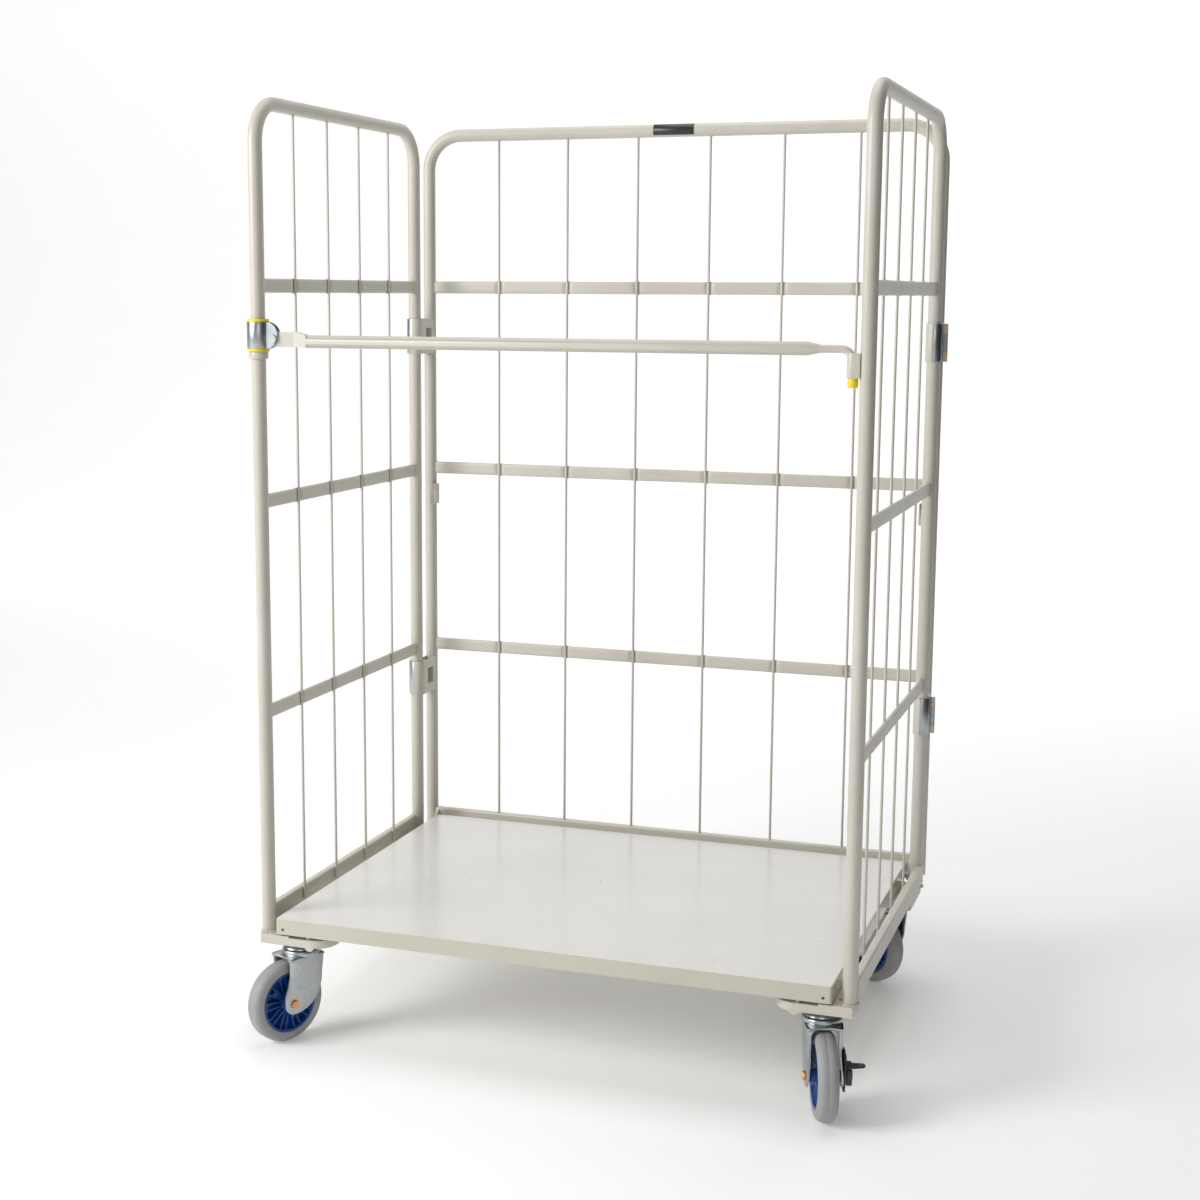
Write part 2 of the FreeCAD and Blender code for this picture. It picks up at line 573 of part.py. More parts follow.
def make_front_bar():
    """The bar across the front, its bent right end with its shoe and cap, and the stop for it."""
    y = -SIDE_POST_Y
    pin_z = BAR_Z + 4
    flat = box(PIN_X, -468, y - 3.2, y + 3.2, BAR_Z - 12, BAR_Z + 16)
    nose = rod((PIN_X, y - 3.2, pin_z), (0, 1, 0), 6.4, 14)
    flat = merge([flat.common(box(PIN_X, -468, y - 4, y + 4, pin_z - 14, pin_z + 14)), nose])
    flat_face = Part.Face(Part.makePolygon([
        Vector(-468, y - 3.2, pin_z - 14), Vector(-468, y + 3.2, pin_z - 14),
        Vector(-468, y + 3.2, pin_z + 14), Vector(-468, y - 3.2, pin_z + 14),
        Vector(-468, y - 3.2, pin_z - 14)]))
    half = BAR_R * 0.93
    square = Part.makePolygon([
        Vector(-440, y - half, BAR_Z - half), Vector(-440, y + half, BAR_Z - half),
        Vector(-440, y + half, BAR_Z + half), Vector(-440, y - half, BAR_Z + half),
        Vector(-440, y - half, BAR_Z - half)])
    taper = Part.makeLoft([flat_face.OuterWire, square], True, True)
    tube = rod((-442, y, BAR_Z), (1, 0, 0), NECK_X0 + 442, BAR_R)
    neck = Part.makeCone(BAR_R, BAR_END_R, NECK_X1 - NECK_X0, Vector(NECK_X0, y, BAR_Z), Vector(1, 0, 0))
    bend_x = TIP_X - TIP_BEND
    thin = rod((NECK_X1, y, BAR_Z), (1, 0, 0), bend_x - NECK_X1, BAR_END_R)
    bend = quarter_bend((bend_x, y, BAR_Z - TIP_BEND), (0, 1, 0), (bend_x, y, BAR_Z), BAR_END_R, 0)
    tip = rod((TIP_X, y, TIP_Z + 3), (0, 0, 1), BAR_Z - TIP_BEND - TIP_Z - 3, BAR_END_R)
    bar = merge([flat, taper, tube, neck, thin, bend, tip])
    bar = bar.cut(rod((PIN_X, y - 20, pin_z), (0, 1, 0), 40, 4.03))
    export("front_bar", bar)
    shoe_z0 = 1231.0
    shoe_z1 = 1271.0
    half = 10.5
    nose_x = TIP_X + 0.5
    shoe = merge([
        rod((nose_x, y, shoe_z0), (0, 0, 1), shoe_z1 - shoe_z0, half),
        box(nose_x, 525.5, y - half, y - half + 3, shoe_z0, shoe_z1),
    ])
    shoe = shoe.cut(box(520.5, 530, y - half + 3, y + 20, shoe_z0, shoe_z1))
    swept = merge([thin, bend, tip]).copy()
    shoe = shoe.cut(swept)
    export("bar_shoe", max(shoe.Solids, key=lambda s: s.Volume))
    cap = rod((TIP_X, y, TIP_Z), (0, 0, 1), shoe_z0 - 0.3 - TIP_Z, 8.6)
    base = [e for e in cap.Edges if e.BoundBox.ZMax < TIP_Z + 0.1]
    cap = cap.makeFillet(2.5, base).cut(rod((TIP_X, y, TIP_Z + 3), (0, 0, 1), 40, BAR_END_R))
    export("bar_tip_cap", cap)
    post = rod((SIDE_X, y, 1200), (0, 0, 1), 120, TUBE_R + WELD_GAP)
    stop = box(528.5, SIDE_X, y - 7.2, y - 1, 1240, 1262)
    plate = box(523.0, SIDE_X, y - 7.2, y - 3.6, 1240, 1262)
    export("bar_stop", merge([stop, plate]).cut(post))


def main():
    """Every part of the cage."""
    os.makedirs("parts", exist_ok=True)
    make_back_panel()
    make_side_panel("left", -1)
    make_side_panel("right", 1)
    make_hinges()
    make_deck_supports()
    make_deck()
    make_casters()
    make_bar_clamp()
    make_front_bar()


main()
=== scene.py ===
"""Roll cage container: materials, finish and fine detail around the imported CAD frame.

Units are metres, in the frame of the CAD: +X right, +Y back, +Z up, origin on the floor.
"""

import json
import math
import random

import bmesh
import bpy
from mathutils import Matrix, Vector


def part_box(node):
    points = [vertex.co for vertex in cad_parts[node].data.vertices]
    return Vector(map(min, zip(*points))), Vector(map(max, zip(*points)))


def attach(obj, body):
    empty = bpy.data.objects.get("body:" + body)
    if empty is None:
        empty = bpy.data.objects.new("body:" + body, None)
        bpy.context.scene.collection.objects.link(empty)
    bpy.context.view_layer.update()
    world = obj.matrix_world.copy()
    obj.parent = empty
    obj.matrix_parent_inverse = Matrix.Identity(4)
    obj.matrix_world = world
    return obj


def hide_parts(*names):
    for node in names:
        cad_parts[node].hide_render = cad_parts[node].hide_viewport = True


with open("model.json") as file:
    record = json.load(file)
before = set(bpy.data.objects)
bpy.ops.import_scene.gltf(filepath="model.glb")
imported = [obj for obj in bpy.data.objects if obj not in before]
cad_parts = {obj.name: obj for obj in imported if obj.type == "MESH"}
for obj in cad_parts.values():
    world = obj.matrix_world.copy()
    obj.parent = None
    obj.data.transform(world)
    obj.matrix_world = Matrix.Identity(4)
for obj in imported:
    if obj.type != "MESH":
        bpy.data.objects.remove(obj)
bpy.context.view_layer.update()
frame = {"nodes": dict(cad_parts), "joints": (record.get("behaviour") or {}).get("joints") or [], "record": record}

MM = 0.001
SLOTS = {part["node"]: part["material_slot"] for part in frame["record"]["subparts"]}
JOINTS = {joint["name"]: joint for joint in frame["joints"]}
PANELS = ("left", "right", "back")
CASTERS = ("front_left", "front_right", "rear_left", "rear_right")

# How far the roughness of plastic and rubber wanders to each side of its middle
SHEEN = 0.08

# Rails: flat oval section, in millimetres
RAIL_H = 25.0
RAIL_D = 10.0
RAIL_SIDES = 28
GROOVE_DEPTH = 0.5
GROOVE_HALF = 5.0
DENT_SWELL = 0.7
DENT_SHARE = 0.78

# Rails: where the rings of the skin stand on each side of a dent, and the dent's length, in metres
RING_STEPS = (0.0, 0.0022, 0.0034, 0.0050, 0.0070, 0.0095, 0.013, 0.018)
DENT_FLAT = 0.0024
DENT_RAMP = 0.0085
END_PINCH = 0.004

# Panels: vertices of one wire or one rail lie closer together than this, in metres
WIRES_APART = 0.03
RAILS_APART = 0.05

# Welds: half sizes of the blobs, and how far they sit from the plane of the tubes, in metres
WELD_DEPTH = 0.0030
CROSSING_WELD = (0.0030, 0.0030, 0.0016)
POST_WELD = (0.0022, 0.0022, 0.0026)
SILL_WELD = (0.0032, 0.0032, 0.0018)
HEAD_WELD = (0.003, 0.003, 0.0022)
FOOT_WELD = 0.0027

# Casters, in millimetres; IN and OUT are distances from the middle of the wheel along its axle
HUB_R = 56.0
TREAD_HALF = 17.5
SHOULDER_R = 12.0
RIB_PAIRS = 10
RIB_ROOT = 15.5
RIB_T = 1.9
SLOT_HALF_AT_ROOT = 3.2
SLOT_HALF_AT_RIM = 5.4
FLOOR_ROOT = 16.0
FLOOR_HALF = 3.0
BOSS_BORE = 7.0
BOSS_END = 24.5
SPACER_BORE = 5.2
SPACER_R = 10.0
SPACER_IN = 24.6
SPACER_OUT = 27.6
FORK_IN = 28.0
FORK_T = 3.5
FORK_OUT = FORK_IN + FORK_T
FORK_TOP = 159.0
CROWN_T = 4.2
RACE_BORE = 24.0
RACE_R = 35.6
PIN_R = 4.9
WASHER_R = 8.4
WASHER_T = 1.3
HEAD_R = 7.6
NUT_R = 7.4
PEDAL_PIVOT = 18.0
STUB_R = 3.5
EYE_BORE = 3.7
EYE_R = 7.5
TONGUE_END = 69.0
TONGUE_R = 9.0


# ---------------------------------------------------------------- materials


class Shader:
    """A small helper that builds one procedural material on Blender's Principled shader."""

    def __init__(self, name, roughness, metallic=0.0, **sockets):
        self.material = bpy.data.materials.new(name)
        self.material.use_nodes = True
        self.nodes = self.material.node_tree.nodes
        self.links = self.material.node_tree.links
        self.bsdf = self.nodes["Principled BSDF"]
        self.bsdf.inputs["Roughness"].default_value = roughness
        self.bsdf.inputs["Metallic"].default_value = metallic
        for socket, value in sockets.items():
            self.bsdf.inputs[socket.replace("_", " ")].default_value = value
        self.place = self.nodes.new("ShaderNodeTexCoord").outputs["Object"]

    def noise(self, scale, detail=3.0, rough=0.5, stretch=None):
        """A noise value at a scale in cycles per metre, stretched by factors along X, Y and Z."""
        node = self.nodes.new("ShaderNodeTexNoise")
        node.inputs["Scale"].default_value = scale
        node.inputs["Detail"].default_value = detail
        node.inputs["Roughness"].default_value = rough
        place = self.place
        if stretch:
            mapping = self.nodes.new("ShaderNodeMapping")
            mapping.inputs["Scale"].default_value = stretch
            self.links.new(place, mapping.inputs["Vector"])
            place = mapping.outputs["Vector"]
        self.links.new(place, node.inputs["Vector"])
        return node.outputs["Fac"]

    def cells(self, scale):
        """Random grey cells, as in a crystal spangle."""
        node = self.nodes.new("ShaderNodeTexVoronoi")
        node.inputs["Scale"].default_value = scale
        self.links.new(self.place, node.inputs["Vector"])
        split = self.nodes.new("ShaderNodeSeparateColor")
        self.links.new(node.outputs["Color"], split.inputs["Color"])
        return split.outputs["Red"]

    def ramp(self, value, stops):
        """A colour ramp over (position, colour) stops."""
        node = self.nodes.new("ShaderNodeValToRGB")
        elements = node.color_ramp.elements
        for index, (position, colour) in enumerate(stops):
            element = elements[index] if index < 2 else elements.new(position)
            element.position = position
            element.color = (*colour, 1.0)
        self.links.new(value, node.inputs["Fac"])
        return node.outputs["Color"]

    def spread(self, value, low, high):
        """A value mapped from 0..1 to low..high."""
        node = self.nodes.new("ShaderNodeMapRange")
        node.inputs["To Min"].default_value = low
        node.inputs["To Max"].default_value = high
        self.links.new(value, node.inputs["Value"])
        return node.outputs["Result"]

    def blend(self, factor, first, second, kind="MIX"):
        """Two colours mixed by a factor, which is a number or another node's output."""
        node = self.nodes.new("ShaderNodeMix")
        node.data_type = "RGBA"
        node.blend_type = kind
        if isinstance(factor, float):
            node.inputs["Factor"].default_value = factor
        else:
            self.links.new(factor, node.inputs["Factor"])
        self.links.new(first, node.inputs[6])
        self.links.new(second, node.inputs[7])
        return node.outputs[2]

    def painted_light_mask(self):
        """1 on faces that look up and 0 on walls, in the piece's own frame: the mask that paints light on tops."""
        place = self.nodes.new("ShaderNodeTexCoord")
        split = self.nodes.new("ShaderNodeSeparateXYZ")
        self.links.new(place.outputs["Normal"], split.inputs["Vector"])
        node = self.nodes.new("ShaderNodeMapRange")
        node.inputs["From Min"].default_value = 0.6
        node.inputs["From Max"].default_value = 0.9
        self.links.new(split.outputs["Z"], node.inputs["Value"])
        return node.outputs["Result"]

    def bump(self, height, strength, distance):
        """Adds one layer of bump over those already there."""
        node = self.nodes.new("ShaderNodeBump")
        node.inputs["Strength"].default_value = strength
        node.inputs["Distance"].default_value = distance
        self.links.new(height, node.inputs["Height"])
        normal = self.bsdf.inputs["Normal"]
        if normal.is_linked:
            self.links.new(normal.links[0].from_socket, node.inputs["Normal"])
        self.links.new(node.outputs["Normal"], normal)

    def colour(self, output):
        self.links.new(output, self.bsdf.inputs["Base Color"])

    def rough(self, output):
        self.links.new(output, self.bsdf.inputs["Roughness"])


def powder_coat():
    """Satin beige powder coat: faint cloudy tone and fine orange peel."""
    s = Shader("powder_coat", 0.42, Specular_IOR_Level=0.5, Coat_Weight=0.12, Coat_Roughness=0.25)
    tone = s.ramp(s.noise(7.0, 4.0), [(0.3, (0.535, 0.510, 0.435)), (0.7, (0.58, 0.555, 0.48))])
    specks = s.ramp(s.noise(900.0, 2.0), [(0.62, (1.0, 1.0, 1.0)), (0.8, (0.93, 0.92, 0.9))])
    s.colour(s.blend(1.0, tone, specks, "MULTIPLY"))
    s.rough(s.spread(s.noise(60.0, 3.0), 0.34, 0.5))
    s.bump(s.noise(620.0, 2.0, 0.4), 0.12, 0.0004)
    return s.material


def deck_coat():
    """Glossy enamel on the deck sheet with faint handling marks; tops painted a lighter grey as painted light and
    reflection, walls a darker beige as painted shade.
    """
    s = Shader("deck_coat", 0.3, Specular_IOR_Level=0.5, Coat_Weight=0.3, Coat_Roughness=0.12)
    # Painted light: the lighter grey stands for light on the tops and their reflection of the room; the darker
    # beige stands for shade on the walls.
    top = s.ramp(s.noise(5.0, 4.0), [(0.3, (0.665, 0.65, 0.615)), (0.7, (0.70, 0.685, 0.655))])
    side = s.ramp(s.noise(7.0, 4.0), [(0.3, (0.50, 0.475, 0.395)), (0.7, (0.54, 0.515, 0.435))])
    s.colour(s.blend(s.painted_light_mask(), side, top))
    s.rough(s.spread(s.noise(35.0, 3.0, stretch=(1.0, 0.25, 1.0)), 0.24, 0.36))
    s.bump(s.noise(450.0, 2.0), 0.06, 0.0003)
    return s.material


def zinc():
    """Bright zinc plate: bluish grey with a fine spangle and faint warm tints."""
    s = Shader("zinc", 0.3, 1.0)
    tints = [(0.3, (0.40, 0.45, 0.47)), (0.55, (0.50, 0.53, 0.53)), (0.8, (0.55, 0.50, 0.42))]
    base = s.ramp(s.noise(28.0, 3.0), tints)
    grain = s.ramp(s.cells(260.0), [(0.0, (0.86, 0.87, 0.9)), (1.0, (1.0, 1.0, 1.0))])
    s.colour(s.blend(0.7, base, grain, "MULTIPLY"))
    s.rough(s.spread(s.noise(90.0, 3.0), 0.24, 0.42))
    s.bump(s.noise(500.0, 3.0), 0.06, 0.0003)
    return s.material


def gold_zinc():
    """Yellow passivated zinc on bolt heads."""
    s = Shader("gold_zinc", 0.3, 1.0)
    tints = [(0.3, (0.72, 0.34, 0.2)), (0.55, (0.76, 0.44, 0.2)), (0.8, (0.66, 0.5, 0.26))]
    s.colour(s.ramp(s.noise(60.0, 3.0), tints))
    s.rough(s.spread(s.noise(200.0), 0.25, 0.45))
    s.bump(s.noise(700.0), 0.08, 0.0003)
    return s.material


def moulded(name, low, high, roughness, grain):
    """Moulded plastic or rubber: a faint tone shift, a fine skin and an uneven sheen."""
    s = Shader(name, roughness, Specular_IOR_Level=0.5)
    s.colour(s.ramp(s.noise(30.0, 3.0), [(0.3, low), (0.7, high)]))
    s.rough(s.spread(s.noise(120.0, 2.0), roughness - SHEEN, roughness + SHEEN))
    s.bump(s.noise(grain, 2.0), 0.1, 0.0004)
    return s.material


def studio_paint(name, value, glow):
    """A matt surface for the studio, whose own glow grows from the cage's place to the back wall."""
    s = Shader(name, 0.9, Specular_IOR_Level=0.1)
    s.bsdf.inputs["Emission Color"].default_value = (1.0, 1.0, 1.0, 1.0)
    split = s.nodes.new("ShaderNodeSeparateXYZ")
    s.links.new(s.place, split.inputs["Vector"])
    fade = s.nodes.new("ShaderNodeMapRange")
    for socket, level in (("From Min", 0.8), ("From Max", 4.5), ("To Min", glow * 0.3), ("To Max", glow)):
        fade.inputs[socket].default_value = level
    s.links.new(split.outputs["Y"], fade.inputs["Value"])
    s.links.new(fade.outputs["Result"], s.bsdf.inputs["Emission Strength"])
    tone = value * 0.99
    s.colour(s.ramp(s.noise(1.5), [(0.3, (tone, tone, tone)), (0.7, (value, value, value))]))
    return s.material


MATERIALS = {
    "powder_coat": powder_coat(),
    "deck_coat": deck_coat(),
    "zinc": zinc(),
    "gold_zinc": gold_zinc(),
    "yellow_plastic": moulded("yellow_plastic", (0.86, 0.62, 0.008), (0.9, 0.68, 0.012), 0.38, 900.0),
    "blue_plastic": moulded("blue_plastic", (0.003, 0.055, 0.26), (0.004, 0.075, 0.34), 0.3, 800.0),
    "grey_rubber": moulded("grey_rubber", (0.30, 0.30, 0.305), (0.35, 0.35, 0.352), 0.6, 600.0),
    "dark_plate": moulded("dark_plate", (0.02, 0.02, 0.022), (0.028, 0.028, 0.03), 0.35, 900.0),
    "dark_steel": moulded("dark_steel", (0.035, 0.038, 0.04), (0.06, 0.062, 0.064), 0.45, 700.0),
}


def dress_frame():
    """Each CAD node gets its slot's material; all but the deck sheet also get welded seams between their faces and
    softened edges.
    """
    for name, node in frame["nodes"].items():
        node.data.materials.clear()
        node.data.materials.append(MATERIALS[SLOTS[name]])
        if name == "deck_sheet":
            continue
        weld = node.modifiers.new("weld", "WELD")
        weld.merge_threshold = 0.00001
        bevel = node.modifiers.new("bevel", "BEVEL")
        bevel.width = 0.0006
        bevel.segments = 2
        bevel.limit_method = "ANGLE"
        bevel.angle_limit = math.radians(35)
        bevel.harden_normals = True


# ---------------------------------------------------------------- mesh tools


def loft(bm, rings, closed=False):
    """Skins rings of points, all of one length, into a capped tube, or a closed ring of them."""
    loops = [[bm.verts.new(point) for point in ring] for ring in rings]
    pairs = list(zip(loops, loops[1:]))
    if closed:
        pairs.append((loops[-1], loops[0]))
    for low, high in pairs:
        for k in range(len(low)):
            j = (k + 1) % len(low)
            bm.faces.new((low[k], low[j], high[j], high[k]))
    if not closed:
        bm.faces.new(list(reversed(loops[0])))
        bm.faces.new(loops[-1])


def lathe(bm, profile, turn, steps):
    """Turns a closed outline of (radius, height) about local Z, placed by a matrix."""
    rings = []
    for k in range(steps):
        angle = 2 * math.pi * k / steps
        c, s = math.cos(angle), math.sin(angle)
        rings.append([turn @ Vector((r * c, r * s, h)) for r, h in profile])
    loft(bm, rings, closed=True)


def slab(bm, outline, low, high, turn, bevel):
    """A plate from an outline of (u, v) between two heights, with chamfered rims, placed by a matrix."""
    centre = Vector((sum(u for u, v in outline), sum(v for u, v in outline))) / len(outline)
    rings = []
    for level, inset in ((low, bevel), (low + bevel, 0.0), (high - bevel, 0.0), (high, bevel)):
        ring = []
        for u, v in outline:
            point = Vector((u, v)) - centre
            point *= 1.0 - inset / max(point.length, 1e-6)
            ring.append(turn @ Vector((*(point + centre), level)))
        rings.append(ring)
    loft(bm, rings)


def arc(cx, cy, radius, start, end, steps):
    """Points along an arc, angles in degrees."""
    angles = [math.radians(start + (end - start) * k / steps) for k in range(steps + 1)]
    return [(cx + radius * math.cos(t), cy + radius * math.sin(t)) for t in angles]


def piece(name, bm, slot, body, replaced=()):
    """Turns mesh work, in metres, into a visual piece that rides on a CAD body."""
    bmesh.ops.recalc_face_normals(bm, faces=bm.faces)
    mesh = bpy.data.meshes.new(name)
    bm.to_mesh(mesh)
    bm.free()
    mesh.set_sharp_from_angle(angle=math.radians(38))
    made = bpy.data.objects.new(name, mesh)
    made.data.materials.append(MATERIALS[slot])
    bpy.context.collection.objects.link(made)
    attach(made, body)
    for node in replaced:
        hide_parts(node)


# ---------------------------------------------------------------- panels


def groups(node, axis, gap):
    """Middles of the clusters of a node's vertices along one axis, in metres."""
    values = sorted(vertex.co[axis] for vertex in frame["nodes"][node].data.vertices)
    starts = [0] + [k for k in range(1, len(values)) if values[k] - values[k - 1] > gap]
    ends = starts[1:] + [len(values)]
    return [(values[i] + values[j - 1]) / 2 for i, j in zip(starts, ends)]


def smooth(t):
    """A soft step from 0 to 1."""
    t = max(0.0, min(1.0, t))
    return t * t * (3 - 2 * t)


def panel_frame(panel):
    """A panel's rail axis, direction into the cage, plane of the tubes, half span and tube radius."""
    low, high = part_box(panel + "_frame")
    radius = min(high.x - low.x, high.y - low.y) / 2
    middle = (low + high) / 2
    if panel == "back":
        return 0, Vector((0, -1, 0)), middle.y, (high.x - low.x) / 2 - radius, radius
    return 1, Vector((-math.copysign(1, middle.x), 0, 0)), middle.x, (high.y - low.y) / 2 - radius, radius


def rail_ring(inward, level, dent):
    """A rail's flat oval at a height; a dent of 0 to 1 flattens its inner face and the groove there."""
    ring = []
    for k in range(RAIL_SIDES):
        angle = 2 * math.pi * k / RAIL_SIDES
        c, t = math.cos(angle), math.sin(angle)
        depth = RAIL_D / 2 * math.copysign(abs(c) ** 0.55, c)
        rise = (RAIL_H / 2 + DENT_SWELL * dent) * math.copysign(abs(t) ** 0.8, t)
        if depth > 0:
            groove = GROOVE_DEPTH * max(0.0, 1 - (rise / GROOVE_HALF) ** 2) * (1 - dent)
            depth = depth * (1 - DENT_SHARE * dent) - groove
        ring.append(inward * (depth * MM) + Vector((0, 0, level + rise * MM)))
    return ring


def make_rails(panel):
    """Flat-oval rails, dented where each wire crosses and pinched where they meet the posts."""
    run, inward, plane, half, radius = panel_frame(panel)
    reach = half - radius * 0.55
    spots = groups(panel + "_wires", run, WIRES_APART) + [-reach - END_PINCH, reach + END_PINCH]
    stations = {-reach, reach}
    for spot in spots:
        for step in RING_STEPS:
            for hand in (-1, 1):
                if abs(spot + hand * step) < reach:
                    stations.add(round(spot + hand * step, 6))
    bm = bmesh.new()
    for level in groups(panel + "_rails", 2, RAILS_APART):
        rings = []
        for u in sorted(stations):
            near = min(abs(u - spot) for spot in spots)
            ring = rail_ring(inward, level, 1.0 - smooth((near - DENT_FLAT) / DENT_RAMP))
            for point in ring:
                point[run] += u
                point[1 - run] += plane
            rings.append(ring)
        loft(bm, rings)
    piece(panel + "_rails_dented", bm, "powder_coat", panel + "_panel", [panel + "_rails"])


def nugget(bm, centre, size, rng):
    """A small lumpy blob of weld."""
    made = bmesh.ops.create_icosphere(bm, subdivisions=2, radius=1.0)
    for vertex in made["verts"]:
        wobble = 1.0 + rng.uniform(-0.12, 0.12)
        vertex.co = Vector(centre) + Vector([vertex.co[k] * size[k] * wobble for k in range(3)])


def bead(bm, path, radius, rng):
    """A rippled weld bead along a path of points."""
    for point in path:
        swell = radius * rng.uniform(0.8, 1.2)
        nugget(bm, point, (swell, swell, swell * 0.8), rng)


def make_welds(panel):
    """Welds at rail ends, at wire crossings and round the feet of the posts."""
    run, inward, plane, half, radius = panel_frame(panel)
    rng = random.Random(panel)
    bm = bmesh.new()

    def at(u, depth, z):
        point = inward * depth + Vector((0, 0, z))
        point[run] += u
        point[1 - run] += plane
        return point

    wires = groups(panel + "_wires", run, WIRES_APART)
    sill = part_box(panel + "_bottom_rail")[1].z
    foot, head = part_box(panel + "_frame")
    for level in groups(panel + "_rails", 2, RAILS_APART):
        for wire in wires:
            for hand in (-1, 1):
                spot = at(wire, WELD_DEPTH, level + hand * (RAIL_H / 2 + 0.2) * MM)
                nugget(bm, spot, CROSSING_WELD, rng)
        for side in (-1, 1):
            for k in range(7):
                z = level + (k - 3) / 3 * (RAIL_H / 2 - 1.5) * MM
                for depth in (-WELD_DEPTH, WELD_DEPTH):
                    nugget(bm, at(side * (half - radius - 0.0002), depth, z), POST_WELD, rng)
    for wire in wires:
        nugget(bm, at(wire, WELD_DEPTH, sill), SILL_WELD, rng)
        nugget(bm, at(wire, WELD_DEPTH + 0.0005, head.z - 2 * radius), HEAD_WELD, rng)
    if panel != "back":
        for side in (-1, 1):
            middle = at(side * half, 0.0, foot.z + 0.0006)
            ring = []
            for k in range(26):
                angle = 2 * math.pi * k / 26
                ring.append(middle + Vector((math.cos(angle), math.sin(angle), 0)) * (radius + 0.0006))
            bead(bm, ring, FOOT_WELD, rng)
    piece(panel + "_welds", bm, "powder_coat", panel + "_panel")


# ---------------------------------------------------------------- casters


def caster_frame(name):
    """A caster's matrix from its own millimetres (X trails, Z up) to the world, trail and axle height."""
    swivel = Vector(JOINTS[name + "_swivel_turn"]["pos_m"])
    wheel = Vector(JOINTS[name + "_wheel_roll"]["pos_m"])
    trail = wheel - swivel
    heading = math.atan2(trail.y, trail.x)
    place = Matrix.Translation((swivel.x, swivel.y, 0.0)) @ Matrix.Rotation(heading, 4, "Z")
    return place @ Matrix.Scale(MM, 4), Vector((trail.x, trail.y)).length / MM, wheel.z / MM


def brake_side(name):
    """The side of the fork, along its axle, that carries the brake; the far side where there is none."""
    joint = JOINTS.get(name + "_brake_press")
    if not joint:
        return 1
    local = caster_frame(name)[0].inverted() @ Vector(joint["pos_m"])
    return 1 if local.y > 0 else -1


def axle_frame(name, turn=math.pi / 2):
    """Matrix from millimetres about a wheel's middle, with Z along its axle, to the world."""
    place, trail, axle_z = caster_frame(name)
    return place @ Matrix.Translation((trail, 0, axle_z)) @ Matrix.Rotation(turn, 4, "X")


def make_tyre(name):
    """A round-shouldered tyre with a faint mould line and a lip at the rim."""
    low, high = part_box(name + "_tyre")
    radius = (high.z - low.z) / 2 / MM
    half = TREAD_HALF
    side = [(HUB_R, half - 1.6), (HUB_R + 1.2, half - 0.3), (HUB_R + 4, half), (HUB_R + 6.5, half - 0.1)]
    side += arc(radius - SHOULDER_R, half - SHOULDER_R, SHOULDER_R, 80, 12, 10)
    crown = [(radius - 0.05, half - SHOULDER_R - 0.5), (radius, 0.6), (radius - 0.25, 0.0)]
    profile = side + crown + [(r, -h) for r, h in reversed(side + crown[:-1])]
    bm = bmesh.new()
    lathe(bm, profile, axle_frame(name), 128)
    piece(name + "_tyre_round", bm, "grey_rubber", name + "_wheel", [name + "_tyre"])


def hub_ribs(bm, turn):
    """One pair of upright ribs from the boss to the rim, with the slot between them left open."""
    half = TREAD_HALF
    tip = HUB_R - 4.4
    outline = [(RIB_ROOT, 4 - half), (tip, 2.2 - half), (tip, half - 2.2), (RIB_ROOT, half - 4)]
    for hand in (-1, 1):
        rings = []
        for grow in (0.0, RIB_T):
            ring = []
            for r, h in outline:
                lean = SLOT_HALF_AT_ROOT if r == RIB_ROOT else SLOT_HALF_AT_RIM
                ring.append(turn @ Vector((r, hand * lean + hand * grow, h)))
            rings.append(ring)
        loft(bm, rings)


def hub_floor(bm, turn):
    """One floor of the hub, from a pair of ribs to the next."""
    gap = math.asin(6.0 / 30.0)
    step = 2 * math.pi / RIB_PAIRS
    inner, outer = gap * 1.3, gap * 0.62
    root = [(FLOOR_ROOT, inner + (step - 2 * inner) * j / 8) for j in range(9)]
    rim = [(HUB_R - 4.6, outer + (step - 2 * outer) * j / 8) for j in range(9)]
    outline = [(r * math.cos(t), r * math.sin(t)) for r, t in root + rim[::-1]]
    loft(bm, [[turn @ Vector((u, v, level)) for u, v in outline] for level in (-FLOOR_HALF, FLOOR_HALF)])


def make_hub(name):
    """A moulded hub: rim, boss, floors between pairs of ribs, and open slots in each pair."""
    axle = axle_frame(name)
    half = TREAD_HALF
    edge = HUB_R - 0.4
    rim = [(edge, half - 1), (edge - 1.5, half - 0.3), (edge - 4, half - 1.5), (edge - 4.6, 3)]
    boss = [(BOSS_BORE, BOSS_END), (11, BOSS_END), (12, BOSS_END - 1)]
    boss += [(13, half - 2), (16, half - 3), (17.5, 8)]
    bm = bmesh.new()
    lathe(bm, rim + [(r, -h) for r, h in reversed(rim)], axle, 120)
    lathe(bm, boss + [(r, -h) for r, h in reversed(boss)], axle, 64)
    for k in range(RIB_PAIRS):
        turn = axle @ Matrix.Rotation(2 * math.pi * k / RIB_PAIRS, 4, "Z")
        hub_ribs(bm, turn)
        hub_floor(bm, turn)
    piece(name + "_hub_ribbed", bm, "blue_plastic", name + "_wheel", [name + "_hub"])


def make_spacers(name):
    """A steel spacer on each side of the hub, just inside the fork."""
    spacer = [(SPACER_BORE, SPACER_IN), (SPACER_R, SPACER_IN)]
    spacer += [(SPACER_R, SPACER_OUT), (SPACER_BORE, SPACER_OUT)]
    bm = bmesh.new()
    for hand in (-1, 1):
        lathe(bm, [(r, hand * h) for r, h in spacer], axle_frame(name), 40)
    piece(name + "_spacers", bm, "dark_steel", name + "_wheel")


